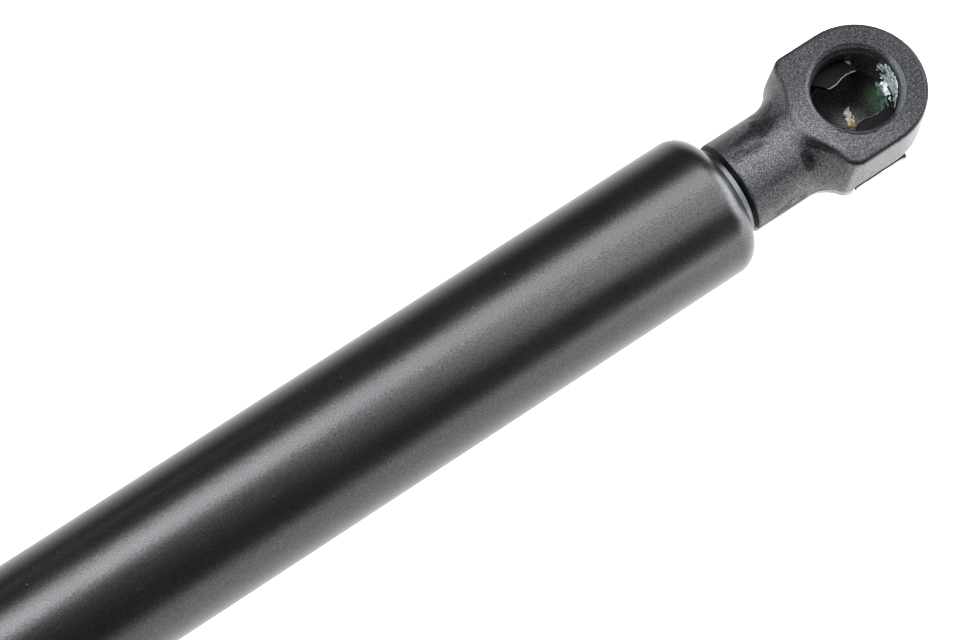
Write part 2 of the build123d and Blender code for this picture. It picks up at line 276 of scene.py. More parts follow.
def rimPaintedHighlight(tree, at, rim, spark):
    # the rim's far part, painted lighter grey as a painted highlight; far is measured 30 degrees from
    # the outward direction, to +Y
    far = addNode(tree, "ShaderNodeMath", {
        0: multiplied(tree, at["y"], 0.5), 1: multiplied(tree, at["inward"], 0.87)},
        operation="SUBTRACT")
    return multiplied(tree, rim, (far, nylonZone["rimFar"], (0, 1), "eased"), (spark, grainy, (0.4, 1)))


def seatGrease(tree, place):
    # green grease low in the base's seat, thickest near the wall
    grease = {"middle": (-4.9 * mm, -0.1 * mm, -1.7 * mm), "lump": 0.5, "ragged": 2.2}
    blob = addNode(tree, "ShaderNodeVectorMath", {0: place, 1: grease["middle"]}, operation="DISTANCE")
    ragged = addNode(tree, "ShaderNodeMath", {
        0: grain(tree, place, grease["lump"], 4), 1: grease["ragged"] * mm, 2: blob},
        operation="MULTIPLY_ADD")
    core = addNode(tree, "ShaderNodeVectorMath", {0: place}, operation="LENGTH")
    return multiplied(tree, (ragged, nylonZone["greaseReach"], (1, 0), "eased"),
                      (core, nylonZone["seatRadius"], (1, 0)))


def faceGloss(tree, at):
    # the flat face: dullest at its far end, with a brighter strip towards the neck
    strip = {"y": 1.7, "tilt": 0.4, "steep": 2.5, "gain": 0.31, "dullest": 0.12}
    tilted = addNode(tree, "ShaderNodeMath", {0: at["y"], 1: strip["tilt"], 2: at["inward"]},
                     operation="MULTIPLY_ADD")
    slope = multiplied(tree, (tilted, nylonZone["faceSlope"], (0, 1)))
    steep = addNode(tree, "ShaderNodeMath", {0: slope, 1: strip["steep"]}, operation="POWER")
    spill = multiplied(tree, (offset(tree, at["y"], strip["y"] * mm), nylonZone["spillY"], (0, 0.62)),
                       (at["inward"], nylonZone["spillInward"], (0, 1)))
    kept = addNode(tree, "ShaderNodeMath", {0: 1.0, 1: spill}, operation="SUBTRACT")
    return addNode(tree, "ShaderNodeMath", {
        0: multiplied(tree, steep, kept), 1: strip["gain"], 2: strip["dullest"]},
        operation="MULTIPLY_ADD")


def handledCorner(tree, at):
    # the corner between flank and sweep, handled smooth
    return multiplied(
        tree,
        (at["normalX"], (0.1, 0.3), (0, 1)), (at["normalX"], (0.5, 0.7), (1, 0)),
        (at["inward"], nylonZone["cornerInward"], (1, 0)),
        (at["normalY"], (0.5, 0.7), (0, 1)))


def mouldedNylon():
    # Glass-filled nylon, injection moulded in a spark-eroded tool: matte charcoal with an even
    # fine sparkle, duller on the flat face, smooth on the face's rounding and painted dark there on
    # the +Y side as painted shade; greasy patches on the neck, a torn flash line round the mouth, a
    # painted highlight in lighter grey on the mouth rim's far part, green grease in the base's ball
    # seat, and a parting line with a smoother lower half. The sparkle is drawn coarser than the
    # tool's real skin, so that it shows.
    size = {"spark": 0.085, "cloud": 2.6, "skin": 0.45}
    depth = {"spark": 0.02, "skin": 0.012, "line": -0.06}
    flank = 0.46
    material, tree, surface, place = startMaterial("moulded_glass_filled_nylon", {
        "Base Color": hexColour("#17181a"), "IOR": 1.53})
    at = headMeasures(tree, place)
    spark = grain(tree, place, size["spark"], 1)
    onNeck = multiplied(tree, (at["along"], nylonZone["neckAlong"], (0, 1), "eased"))
    # greasy smears on the neck, together with painted shade on the face's +Y rounding
    smearAndPaintedShade = addNode(tree, "ShaderNodeMath", {
        0: greasySmears(tree, place, onNeck), 1: multiplied(tree, roundingPaintedShade(tree, at), 0.8)},
        operation="MAXIMUM")
    line = flashAndSeam(tree, place, at, onNeck)
    rim = mouthRim(tree, at)
    # the #060708 layer is greasy smears plus painted shade on the +Y rounding; the #505256 layer is a
    # painted highlight on the rim's far part
    tone = layered(
        tree, "#121315", (grain(tree, place, size["cloud"], 4), "#1a1b1d"),
        (multiplied(tree, (spark, (0.55, 0.72), (0, 0.7))), "#3e4044"), (smearAndPaintedShade, "#060708"),
        (line, "#020202"), (rimPaintedHighlight(tree, at, rim, spark), "#505256"),
        (seatGrease(tree, place), "#46573f"))
    face = multiplied(tree, (at["z"], nylonZone["faceHeight"], (0, 1), "eased"))
    marked = addNode(tree, "ShaderNodeMath", {0: smearAndPaintedShade, 1: line}, operation="MAXIMUM")
    gloss = multiplied(
        tree,
        addNode(tree, "ShaderNodeMix", {"Factor": face, "A": flank, "B": faceGloss(tree, at)}),
        (at["z"], nylonZone["lowerHalf"], (1.7, 1)),
        (spark, grainy, (0.25, 1.85)),
        (marked, (0, 1), (1, 0.2)),
        (at["aside"], nylonZone["boreAside"], (0.45, 1)),
        (rim, (0, 1), (1, 1.6)),
        (handledCorner(tree, at), (0, 1), (1, 2.2)))
    polished = multiplied(tree, (at["z"], nylonZone["polishedHeight"], (1, 0)),
                          (at["aside"], nylonZone["polishedAside"], (0, 1)))
    setInputs(tree, surface, {
        "Base Color": tone, "Specular IOR Level": gloss,
        "Roughness": multiplied(tree, (polished, (0, 1), (0.44, 0.22))),
        "Normal": relief(tree, (spark, depth["spark"]),
                         (grain(tree, place, size["skin"], 2), depth["skin"]), (line, depth["line"]))})
    return material


def blackenedSpringSteel():
    # Hardened strip, phosphated black: dull and almost black, fine lengthwise rolling lines, bare
    # bright steel along the jaws' sheared edges and rubbed grey along the strap's outside. The
    # rolling lines are drawn coarser than real ones, so that they show.
    zone = inMetres({"edgeInward": (1.4, 1.8), "edgeOutward": (-2.9, -2.6), "edgeHeight": (3.06, 3.14),
                     "edgeY": (4.6, 5.2),
                     "lipY": (8.78, 8.86), "lipHeight": (-0.5, -0.4), "lipInward": (-2.1, -1.2)})
    material, tree, surface, place = startMaterial("phosphated_spring_steel", {
        "Base Color": hexColour("#1c1c1e"), "Metallic": 1.0, "Roughness": 0.5})
    split = addNode(tree, "ShaderNodeSeparateXYZ", {0: place}).outputs
    inward = fromNearerBall(tree, split[0])
    aside = addNode(tree, "ShaderNodeMath", {0: split[1]}, operation="ABSOLUTE")
    edge = multiplied(
        tree,
        (surfaceNormal(tree)[2], (0.72, 0.97), (1, 0)),
        (inward, zone["edgeInward"], (1, 0)), (inward, zone["edgeOutward"], (0, 1)),
        (split[2], zone["edgeHeight"], (0, 1)), (aside, zone["edgeY"], (1, 0)))
    # the lip's outer face has rubbed to grey below its edge, less at its corner
    rubbed = multiplied(
        tree,
        (aside, zone["lipY"], (0, 1)), (split[2], zone["lipHeight"], (1, 0)),
        (inward, zone["lipInward"], (0.1, 1)),
        (grain(tree, place, 0.5, 3), (0.35, 0.6), (0.7, 1)))
    lines = grain(tree, place, 0.12, 2, (0.1, 1, 1))
    setInputs(tree, surface, {
        "Base Color": layered(tree, "#0b0b0c", (grain(tree, place, 1.5, 4), "#131314"),
                              (edge, "#e4e6e8"), (rubbed, "#a4a6a8")),
        "Roughness": multiplied(tree, (lines, grainy, (0.44, 0.58))),
        "Normal": relief(tree, (lines, 0.004))})
    return material


def smearedGrease(name, pale, deep, axis, deepAt, paleAt, gaps):
    # Old bearing grease torn into flakes by the ball: cloudy, wet, ridged, darker where it is thin.
    # Its colour runs from deep to pale along one axis, between two places in millimetres.
    material, tree, surface, place = startMaterial(name, {
        "Base Color": hexColour(pale), "Roughness": 0.28, "IOR": 1.47, "Coat Weight": 0.4})
    split = addNode(tree, "ShaderNodeSeparateXYZ", {0: place}).outputs
    ridges = grain(tree, place, 0.2, 3, (1, 0.4, 1))
    down = multiplied(tree, (split[axis], (deepAt * mm, paleAt * mm), (1, 0)))
    mixed = addNode(tree, "ShaderNodeMath", {
        0: multiplied(tree, down, 0.7), 1: multiplied(tree, (ridges, (0.4, 0.65), (0, 0.5)))},
        operation="ADD")
    setInputs(tree, surface, {
        "Base Color": layered(tree, pale, (multiplied(tree, (mixed, (0.15, 0.95), (0, 1))), deep),
                              (multiplied(tree, (ridges, (0.40, 0.52), (gaps, 0))), "#0c1110")),
        "Normal": relief(tree, (ridges, 0.05))})
    return material


roundAxis = (1, 0.02, 0.02)  # stretches a grain into rings round the X axis


def turnedSteel(name, light, dark, rough):
    # Turned and plated steel: rings from the tool run round the axis.
    material, tree, surface, place = startMaterial(name, {
        "Base Color": hexColour(light), "Metallic": 1.0, "Roughness": rough})
    rings = grain(tree, place, 0.1, 2, roundAxis)
    setInputs(tree, surface, {
        "Base Color": layered(tree, dark, (grain(tree, place, 1.1, 4), light)),
        "Roughness": multiplied(tree, (rings, grainy, (rough - 0.06, rough + 0.08))),
        "Normal": relief(tree, (rings, 0.006))})
    return material


def hardChrome():
    # Ground and hard-chromed rod: mirror bright with hair-fine grinding lines round it, drawn
    # coarser than real ones, so that they show.
    material, tree, surface, place = startMaterial("ground_hard_chrome", {
        "Base Color": hexColour("#c8cacc"), "Metallic": 1.0, "Roughness": 0.1})
    lines = grain(tree, place, 0.06, 1, roundAxis)
    setInputs(tree, surface, {
        "Base Color": layered(tree, "#c2c5c8", (grain(tree, place, 6, 3), "#d2d3d4")),
        "Roughness": multiplied(tree, (lines, grainy, (0.07, 0.14))),
        "Normal": relief(tree, (lines, 0.0012))})
    return material


def mouldedSoft(name, colour, lighter, rough, lump):
    # Moulded rubber or plastic ring: even body colour, soft sheen, slight skin texture.
    material, tree, surface, place = startMaterial(name, {
        "Base Color": hexColour(colour), "IOR": 1.52, "Roughness": rough})
    skin = grain(tree, place, lump, 2)
    setInputs(tree, surface, {
        "Base Color": layered(tree, colour, (grain(tree, place, 1.6, 4), lighter)),
        "Roughness": multiplied(tree, (skin, grainy, (rough - 0.06, rough + 0.06))),
        "Normal": relief(tree, (skin, 0.012))})
    return material


def sinteredIron():
    # Pressed and sintered iron: grey, open-grained, small dark pores, drawn larger than real ones,
    # so that they show.
    poresApart = 0.35
    material, tree, surface, place = startMaterial("sintered_iron", {
        "Base Color": hexColour("#77787a"), "Metallic": 1.0, "Roughness": 0.5})
    pores = addNode(tree, "ShaderNodeTexVoronoi", {"Vector": place, "Scale": 1 / (poresApart * mm)})
    setInputs(tree, surface, {
        "Base Color": layered(tree, "#7b7c7e",
                              (multiplied(tree, (pores, (0.15, 0.4), (1, 0))), "#3a3b3c")),
        "Normal": relief(tree, (pores, 0.03))})
    return material


def oversprayedSteel():
    # The end plug: bright turned steel inside, and the tube's black enamel where its boss and the
    # stud's root stand out of the rolled end. The spray fades along the stud.
    zone = inMetres({"insideTube": (22.2, 22.4), "sprayFades": (18.9, 19.5), "bossWear": (6.1, 6.5),
                     "wornSide": (-1.2, 1.6)})
    material, tree, surface, place = startMaterial("turned_steel_with_enamel_overspray", {
        "Base Color": hexColour("#8f9296"), "Metallic": 1.0, "Roughness": 0.3})
    split = addNode(tree, "ShaderNodeSeparateXYZ", {0: place}).outputs
    flat = addNode(tree, "ShaderNodeCombineXYZ", {0: 0.0, 1: split[1], 2: split[2]})
    reach = addNode(tree, "ShaderNodeVectorMath", {0: flat}, operation="LENGTH")
    ragged = addNode(tree, "ShaderNodeMath", {0: grain(tree, place, 0.25, 3), 1: 0.9 * mm, 2: reach},
                     operation="MULTIPLY_ADD")
    paint = multiplied(tree, (split[0], zone["insideTube"], (1, 0)),
                       (split[0], zone["sprayFades"], (0, 1), "eased"))
    # the worn grey on the boss fades out towards -Y, where the boss stays black
    worn = multiplied(tree, (ragged, zone["bossWear"], (0, 0.8)),
                      (split[1], zone["wornSide"], (0.03, 1), "eased"))
    bright = layered(tree, "#6d7074", (grain(tree, place, 1.1, 4), "#8f9296"))
    black = layered(tree, "#050506", (worn, "#5c5f63"))
    rings = grain(tree, place, 0.1, 2, roundAxis)
    setInputs(tree, surface, {
        "Base Color": layered(tree, bright, (paint, black)),
        "Metallic": multiplied(tree, (paint, (0, 1), (1, 0))),
        "Roughness": multiplied(tree, (rings, grainy, (0.26, 0.36))),
        "Normal": relief(tree, (rings, 0.006))})
    return material


materials = {
    "tubePaint": satinBlackPaint(),
    "nylon": mouldedNylon(),
    "springSteel": blackenedSpringSteel(),
    "plugSteel": oversprayedSteel(),
    "wallGrease": smearedGrease("torn_green_grease", "#b9c0c2", "#4d8071", 2, -0.6, 2.0, 0.9),
    "seatGrease": smearedGrease("dried_cream_grease", "#e4e0cf", "#8c7420", 1, 0.3, -1.1, 0.25),
    "washerSteel": turnedSteel("stamped_steel", "#9a9b9d", "#7d7e80", 0.38),
    "bareSpring": turnedSteel("sheared_spring_steel", "#7c7e81", "#636568", 0.38),
    "chrome": hardChrome(),
    "nitrile": mouldedSoft("moulded_nitrile_rubber", "#131314", "#1d1d1f", 0.5, 0.3),
    "polyurethane": mouldedSoft("moulded_polyurethane", "#20242a", "#2c313a", 0.38, 0.4),
    "acetal": mouldedSoft("moulded_acetal", "#d9d7cf", "#e6e4dd", 0.4, 0.5),
    "bronze": turnedSteel("sintered_bronze_bush", "#a87a46", "#7f5b33", 0.36),
    "sinteredIron": sinteredIron(),
    "ringNylon": mouldedSoft("moulded_piston_ring_nylon", "#c9c3b2", "#d8d3c4", 0.42, 0.4),
}
print("stage: materials made")


# millimetres: points nearer than this join, in the turning and in a mesh, and thinner faces go
weld = {"turning": 0.002, "mesh": 0.0015, "sliver": 0.0005}


# Turned parts: one rule makes them all, a half section run round the X axis.

def turningTree():
    tree = bpy.data.node_groups.new("turning", "GeometryNodeTree")
    face = tree.interface
    face.new_socket("Geometry", in_out="INPUT", socket_type="NodeSocketGeometry")
    face.new_socket("Geometry", in_out="OUTPUT", socket_type="NodeSocketGeometry")
    face.new_socket("Segments", in_out="INPUT", socket_type="NodeSocketInt")
    for label in ("Thread Start", "Thread End", "Thread Pitch", "Thread Depth"):
        face.new_socket(label, in_out="INPUT", socket_type="NodeSocketFloat")
    face.new_socket("Material", in_out="INPUT", socket_type="NodeSocketMaterial")
    given = addNode(tree, "NodeGroupInput").outputs

    counted = addNode(tree, "GeometryNodeAttributeDomainSize", {0: given["Geometry"]})
    have = {"index": addNode(tree, "GeometryNodeInputIndex").outputs[0],
            "rows": counted.outputs["Point Count"], "segments": given["Segments"],
            "start": given["Thread Start"], "end": given["Thread End"],
            "pitch": given["Thread Pitch"], "depth": given["Thread Depth"]}

    def work(*sums):
        # each sum: its name, its operation, and its terms, which are numbers or earlier names
        for name, operation, *terms in sums:
            have[name] = addNode(tree, "ShaderNodeMath", {
                slot: have.get(term, term) for slot, term in enumerate(terms)}, operation=operation)

    # which point of the grid stands in which row and column, and so at which angle
    work(("columns", "ADD", "segments", 1), ("middle", "ADD", "index", 0.5),
         ("ratio", "DIVIDE", "middle", "columns"), ("row", "FLOOR", "ratio"),
         ("before", "MULTIPLY", "row", "columns"), ("column", "SUBTRACT", "index", "before"),
         ("turns", "DIVIDE", "column", "segments"), ("angle", "MULTIPLY", "turns", 2 * math.pi))
    sheet = addNode(tree, "GeometryNodeMeshGrid", {
        "Vertices X": have["rows"], "Vertices Y": have["columns"]})
    picked = addNode(tree, "GeometryNodeSampleIndex", data_type="FLOAT_VECTOR")
    setInputs(tree, picked, {
        "Geometry": given["Geometry"], "Value": addNode(tree, "GeometryNodeInputPosition"),
        "Index": have["row"]})
    section = addNode(tree, "ShaderNodeSeparateXYZ", {0: picked}).outputs
    have["x"], have["r"] = section["X"], section["Y"]
    # thread: a triangle wave with blunt crest and root, faded in and out over one pitch
    crest, root = 0.1, 0.88
    work(("pitches", "DIVIDE", "x", "pitch"), ("winding", "ADD", "pitches", "turns"),
         ("phase", "FRACT", "winding"), ("saw", "MULTIPLY_ADD", "phase", 2.0, -1.0),
         ("wave", "ABSOLUTE", "saw"), ("fullFrom", "ADD", "start", "pitch"),
         ("fullTo", "SUBTRACT", "end", "pitch"))
    have["blunt"] = addNode(tree, "ShaderNodeMapRange", {
        "Value": have["wave"], "From Min": crest, "From Max": root})
    have["fadeIn"] = addNode(tree, "ShaderNodeMapRange", {
        "Value": have["x"], "From Min": have["start"], "From Max": have["fullFrom"]},
        interpolation_type="SMOOTHSTEP")
    have["fadeOut"] = addNode(tree, "ShaderNodeMapRange", {
        "Value": have["x"], "From Min": have["fullTo"], "From Max": have["end"],
        "To Min": 1.0, "To Max": 0.0}, interpolation_type="SMOOTHSTEP")
    # nothing near the axis is cut
    work(("deep", "MULTIPLY", "blunt", "depth"), ("faded", "MULTIPLY", "fadeIn", "fadeOut"),
         ("cut", "MULTIPLY", "deep", "faded"), ("nearAxis", "MULTIPLY", "depth", 3.0),
         ("outside", "GREATER_THAN", "r", "nearAxis"), ("taken", "MULTIPLY", "cut", "outside"),
         ("radius", "SUBTRACT", "r", "taken"), ("cosine", "COSINE", "angle"), ("sine", "SINE", "angle"),
         ("y", "MULTIPLY", "radius", "cosine"), ("z", "MULTIPLY", "radius", "sine"))
    spot = addNode(tree, "ShaderNodeCombineXYZ", {"X": have["x"], "Y": have["y"], "Z": have["z"]})
    bent = addNode(tree, "GeometryNodeSetPosition", {"Geometry": sheet, "Position": spot})
    joined = addNode(tree, "GeometryNodeMergeByDistance", {
        "Geometry": bent, "Distance": weld["turning"] * mm})
    solid = addNode(tree, "GeometryNodeRealizeInstances", {"Geometry": joined})
    painted = addNode(tree, "GeometryNodeSetMaterial", {
        "Geometry": solid, "Material": given["Material"]})
    addNode(tree, "NodeGroupOutput", {"Geometry": painted})
    return tree


turning = turningTree()


def setModifierInput(modifier, label, value):
    # inputs are set by their identifiers
    for item in modifier.node_group.interface.items_tree:
        if item.item_type == "SOCKET" and item.in_out == "INPUT" and item.name == label:
            modifier[item.identifier] = value


def shadeSmooth(mesh, crispAngle=None):
    # smooth everywhere, but crisp at edges that turn by more than crispAngle degrees
    mesh.polygons.foreach_set("use_smooth", [True] * len(mesh.polygons))
    if crispAngle:
        mesh.set_sharp_from_angle(angle=math.radians(crispAngle))


def finishMesh(mesh):
    # closed, outward, smooth with crisp corners
    work = bmesh.new()
    work.from_mesh(mesh)
    bmesh.ops.remove_doubles(work, verts=work.verts, dist=weld["mesh"] * mm)
    bmesh.ops.dissolve_degenerate(work, edges=work.edges, dist=weld["sliver"] * mm)
    bmesh.ops.recalc_face_normals(work, faces=work.faces)
    work.to_mesh(mesh)
    work.free()
    shadeSmooth(mesh, 38)
    mesh.update()


def addObject(name, data):
    added = bpy.data.objects.new(name, data)
    bpy.context.scene.collection.objects.link(added)
    return added


def evaluatedMesh(holder, name):
    # the mesh with its modifiers carried out; the holder goes
    graph = bpy.context.evaluated_depsgraph_get()
    mesh = bpy.data.meshes.new_from_object(holder.evaluated_get(graph), depsgraph=graph)
    bpy.data.objects.remove(holder)
    mesh.name = name
    return mesh


def addPiece(name, mesh, material, body, node=None):
    # a finished mesh as a piece that rides its body and, where node is given, stands for that node
    mesh.materials.clear()
    mesh.materials.append(material)
    piece = addObject(name, mesh)
    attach(piece, body)
    if node:
        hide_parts(node)
    return piece


def turned(name, section, material, body, slot, node, segments=128, thread=None):
    # section: (x, radius) pairs in mm, from the left pole or lip round to where it began
    outline = bpy.data.meshes.new(name + "_section")
    outline.from_pydata([(x * mm, r * mm, 0) for x, r in section], [], [])
    holder = addObject(name + "_section", outline)
    modifier = holder.modifiers.new("turning", "NODES")
    modifier.node_group = turning
    start, end, pitch, depth = thread or (0, 0, 1, 0)
    setModifierInput(modifier, "Segments", segments)
    setModifierInput(modifier, "Thread Start", start * mm)
    setModifierInput(modifier, "Thread End", end * mm)
    setModifierInput(modifier, "Thread Pitch", pitch * mm)
    setModifierInput(modifier, "Thread Depth", depth * mm)
    setModifierInput(modifier, "Material", material)
    mesh = evaluatedMesh(holder, name)
    finishMesh(mesh)
    return addPiece(name, mesh, material, body, node)


def arc(cx, cy, radius, fromDeg, toDeg, steps=16):
    angles = [math.radians(fromDeg + (toDeg - fromDeg) * i / steps) for i in range(steps + 1)]
    return [(cx + radius * math.cos(angle), cy + radius * math.sin(angle)) for angle in angles]


def evenly(start, end, radius, step):
    # a straight run at one radius, divided for a thread
    count = max(1, round((end - start) / step))
    return [(start + (end - start) * i / count, radius) for i in range(count + 1)]


def strutTube():
    tube = {"r": 9.5, "wall": 1.3, "baseEnd": 20.5, "rodEnd": 213.5, "baseRoll": 3.2, "rodRoll": 2.6,
            "baseMouth": 6.25, "rodMouth": 5.45, "lipRound": 0.18,
            "bead": 193.0, "beadArc": 1.6, "beadDepth": 0.9, "beadBlend": 0.7, "beadSteps": 20}
    r, wall, lip = tube["r"], tube["wall"], tube["lipRound"]
    baseX, baseR = tube["baseEnd"] + tube["baseRoll"], r - tube["baseRoll"]
    rodX, rodR = tube["rodEnd"] - tube["rodRoll"], r - tube["rodRoll"]
    chord = math.sqrt(tube["beadArc"] ** 2 - (tube["beadArc"] - tube["beadDepth"]) ** 2)
    half = chord + tube["beadBlend"]
    bead = []
    for i in range(2 * tube["beadSteps"] + 1):
        u = i / tube["beadSteps"] - 1
        bead.append((tube["bead"] + u * half, tube["beadDepth"] * 0.5 * (1 + math.cos(math.pi * u))))
    section = [(tube["baseEnd"] + wall, tube["baseMouth"])]
    section += arc(tube["baseEnd"] + wall - lip, tube["baseMouth"] + lip, lip, 0, -90, 4)[1:]
    section += arc(tube["baseEnd"] + lip, tube["baseMouth"] + lip, lip, -90, -180, 5)
    section += arc(baseX, baseR, tube["baseRoll"], 180, 90, 28)
    section += [(x, r - dip) for x, dip in bead]
    section += arc(rodX, rodR, tube["rodRoll"], 90, 0, 26)
    section += arc(tube["rodEnd"] - lip, tube["rodMouth"] + lip, lip, 0, -90, 5)
    section += arc(tube["rodEnd"] - wall + lip, tube["rodMouth"] + lip, lip, -90, -180, 5)
    section += arc(rodX, rodR, tube["rodRoll"] - wall, 0, 90, 16)
    section += [(x, r - wall - dip) for x, dip in reversed(bead)]
    section += arc(baseX, baseR, tube["baseRoll"] - wall, 90, 180, 16)
    section += [section[0]]
    turned("pressure_tube_painted", section, materials["tubePaint"], "cylinder", "tube_paint",
           "pressure_tube", 224)


studThread = {"pitch": 1.25, "depth": 0.7, "step": 0.085}  # M8; step divides the stud's run for it


def endPlug():
    plug = {"studStart": 8.4, "studR": 3.97, "chamfer": 0.6, "bossStart": 19.62, "bossR": 6.1,
            "bossChamfer": 0.08, "rootGap": 0.02, "rootStep": 0.1,
            "front": 21.8, "bodyR": 8.1, "corner": 1.8,
            "grooveStart": 26.0, "grooveEnd": 28.2, "grooveR": 6.36, "end": 31.0, "endChamfer": 0.3,
            "recessR": 4.0, "recess": 3.0, "recessTaper": 0.2}
    section = [(plug["studStart"], 0), (plug["studStart"], plug["studR"] - plug["chamfer"])]
    section += evenly(plug["studStart"] + plug["chamfer"], plug["bossStart"] - plug["rootGap"],
                      plug["studR"], studThread["step"])
    section += [(plug["bossStart"], plug["studR"] + plug["rootStep"]),
                (plug["bossStart"], plug["bossR"] - plug["bossChamfer"]),
                (plug["bossStart"] + plug["bossChamfer"], plug["bossR"]),
                (plug["front"], plug["bossR"])]
    section += arc(plug["front"] + plug["corner"], plug["bodyR"] - plug["corner"], plug["corner"],
                   180, 90, 10)
    section += [(plug["grooveStart"], plug["bodyR"]), (plug["grooveStart"], plug["grooveR"]),
                (plug["grooveEnd"], plug["grooveR"]), (plug["grooveEnd"], plug["bodyR"]),
                (plug["end"] - plug["endChamfer"], plug["bodyR"]),
                (plug["end"], plug["bodyR"] - plug["endChamfer"]), (plug["end"], plug["recessR"]),
                (plug["end"] - plug["recess"], plug["recessR"] - plug["recessTaper"]),
                (plug["end"] - plug["recess"], 0)]
    turned("base_end_plug_turned", section, materials["plugSteel"], "cylinder", "plug_steel",
           "base_end_plug",
           thread=(plug["studStart"], plug["bossStart"], studThread["pitch"], studThread["depth"]))


def strutRod():
    rod = {"front": 190.76, "smoothEnd": 364.65, "r": 4.0, "chamferSmooth": 0.15, "tip": 376.4,
           "studR": 3.97, "studRootR": 3.85, "rootGap": 0.05, "chamfer": 0.6,
           "spigotR": 2.5, "rivetR": 3.3, "rivetCorner": 1.0, "discs": 6.6, "rivet": 1.5}
    back = rod["front"] - rod["discs"]
    start = back - rod["rivet"]
    section = [(start, 0)]
    section += arc(start + rod["rivetCorner"], rod["rivetR"] - rod["rivetCorner"], rod["rivetCorner"],
                   180, 90, 10)
    section += [(back, rod["rivetR"]), (back, rod["spigotR"]), (rod["front"], rod["spigotR"]),
                (rod["front"], rod["r"] - rod["chamferSmooth"]),
                (rod["front"] + rod["chamferSmooth"], rod["r"]),
                (rod["smoothEnd"] - rod["chamferSmooth"], rod["r"]),
                (rod["smoothEnd"], rod["studRootR"])]
    section += evenly(rod["smoothEnd"] + rod["rootGap"], rod["tip"] - rod["chamfer"], rod["studR"],
                      studThread["step"])
    section += [(rod["tip"], rod["studR"] - rod["chamfer"]), (rod["tip"], 0)]
    turned("piston_rod_ground", section, materials["chrome"], "rod", "rod_chrome", "piston_rod",
           thread=(rod["smoothEnd"], rod["tip"], studThread["pitch"], studThread["depth"]))


def rodWiper():
    wiper = {"start": 209.7, "end": 213.2, "outer": 5.2, "outerChamfer": 0.1, "inner": 4.5,
             "lip": 4.04, "lipChamfer": 0.12, "lipLength": 0.9, "lipBackStep": 0.1, "lipBack": 0.25,
             "round": 0.4}
    lipBack = wiper["end"] - wiper["lipLength"]
    section = [(wiper["start"], wiper["outer"] - wiper["outerChamfer"]),
               (wiper["start"] + wiper["outerChamfer"], wiper["outer"])]
    section += arc(wiper["end"] - wiper["round"], wiper["outer"] - wiper["round"], wiper["round"],
                   90, 0, 8)
    section += [(wiper["end"], wiper["lip"] + wiper["lipChamfer"]),
                (wiper["end"] - wiper["lipChamfer"], wiper["lip"]),
                (lipBack, wiper["lip"] + wiper["lipBackStep"]),
                (lipBack - wiper["lipBack"], wiper["inner"]),
                (wiper["start"], wiper["inner"]), section[0]]
    turned("rod_wiper_moulded", section, materials["polyurethane"], "cylinder", "wiper_polyurethane",
           "rod_wiper")


strutTube()
endPlug()
strutRod()
rodWiper()
print("stage: turned parts made")


# Moulded sockets and pressed clips: their CAD shapes with real moulded and sheared edges.

def softened(name, node, voxel, passes):
    # a fine even skin over the node's shape, eased so that every edge gets its small radius
    work = bmesh.new()
    work.from_mesh(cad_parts[node].data)
    bmesh.ops.remove_doubles(work, verts=work.verts, dist=weld["turning"] * mm)
    copied = bpy.data.meshes.new(node + "_copy")
    work.to_mesh(copied)
    work.free()
    holder = addObject(name, copied)
    skin = holder.modifiers.new("skin", "REMESH")
    skin.mode = "VOXEL"
    skin.voxel_size = voxel * mm
    ease = holder.modifiers.new("ease", "SMOOTH")
    ease.factor = 0.5
    ease.iterations = passes
    mesh = evaluatedMesh(holder, name)
    shadeSmooth(mesh)
    return mesh


def atRodEnd(mesh, name):
    other = mesh.copy()
    other.name = name
    other.transform(Matrix.Translation((strutLength, 0, 0)) @ Matrix.Rotation(math.pi, 4, "Z"))
    return other


def sockets():
    socket = {"voxel": 0.19, "passes": 5}
    housing = softened("base_socket_moulded", "base_socket_housing",
                       socket["voxel"], socket["passes"])
    addPiece("base_socket_moulded", housing, materials["nylon"], "cylinder",
             "base_socket_housing")
    addPiece("rod_socket_moulded", atRodEnd(housing, "rod_socket_moulded"), materials["nylon"], "rod",
             "rod_socket_housing")


def clips():
    clip = {"voxel": 0.1, "passes": 2}
    spring = softened("base_clip_pressed", "base_socket_clip", clip["voxel"], clip["passes"])
    addPiece("base_clip_pressed", spring, materials["springSteel"], "base_clip",
             "base_socket_clip")
    addPiece("rod_clip_pressed", atRodEnd(spring, "rod_clip_pressed"), materials["springSteel"],
             "rod_clip", "rod_socket_clip")


def tornFilm(name, counts, spot, keep, thickness, material, body):
    # a grid laid where the grease sits; only the cells that keep() likes stay, then it gets a body
    columns, rows = counts
    work = bmesh.new()
    grid = [[work.verts.new(Vector(spot(i / columns, j / rows)) * mm) for j in range(rows + 1)]
            for i in range(columns + 1)]
    for i in range(columns):
        for j in range(rows):
            if keep((i + 0.5) / columns, (j + 0.5) / rows):
                work.faces.new((grid[i][j], grid[i + 1][j], grid[i + 1][j + 1], grid[i][j + 1]))
    bmesh.ops.delete(work, geom=[v for v in work.verts if not v.link_faces], context="VERTS")
    bmesh.ops.recalc_face_normals(work, faces=work.faces)
    bmesh.ops.solidify(work, geom=work.faces[:], thickness=thickness * mm)
    bmesh.ops.recalc_face_normals(work, faces=work.faces)
    sortFaces(work)
    mesh = bpy.data.meshes.new(name)
    work.to_mesh(mesh)
    work.free()
    shadeSmooth(mesh, 50)
    addPiece(name, mesh, material, body)


def sortFaces(work):
    # solidify leaves the faces in another order on each run; this gives them one order
    work.verts.index_update()
    count = len(work.verts)

    def rank(face):
        first, second, third = sorted(vertex.index for vertex in face.verts)[:3]
        return (first * count + second) * count + third

    work.faces.sort(key=rank)


def ripple(u, v, across, up, layer):
    # smooth noise over a film, from about -1 to 1; each layer is another pattern
    return noise.noise(Vector((u * across, v * up, layer)))


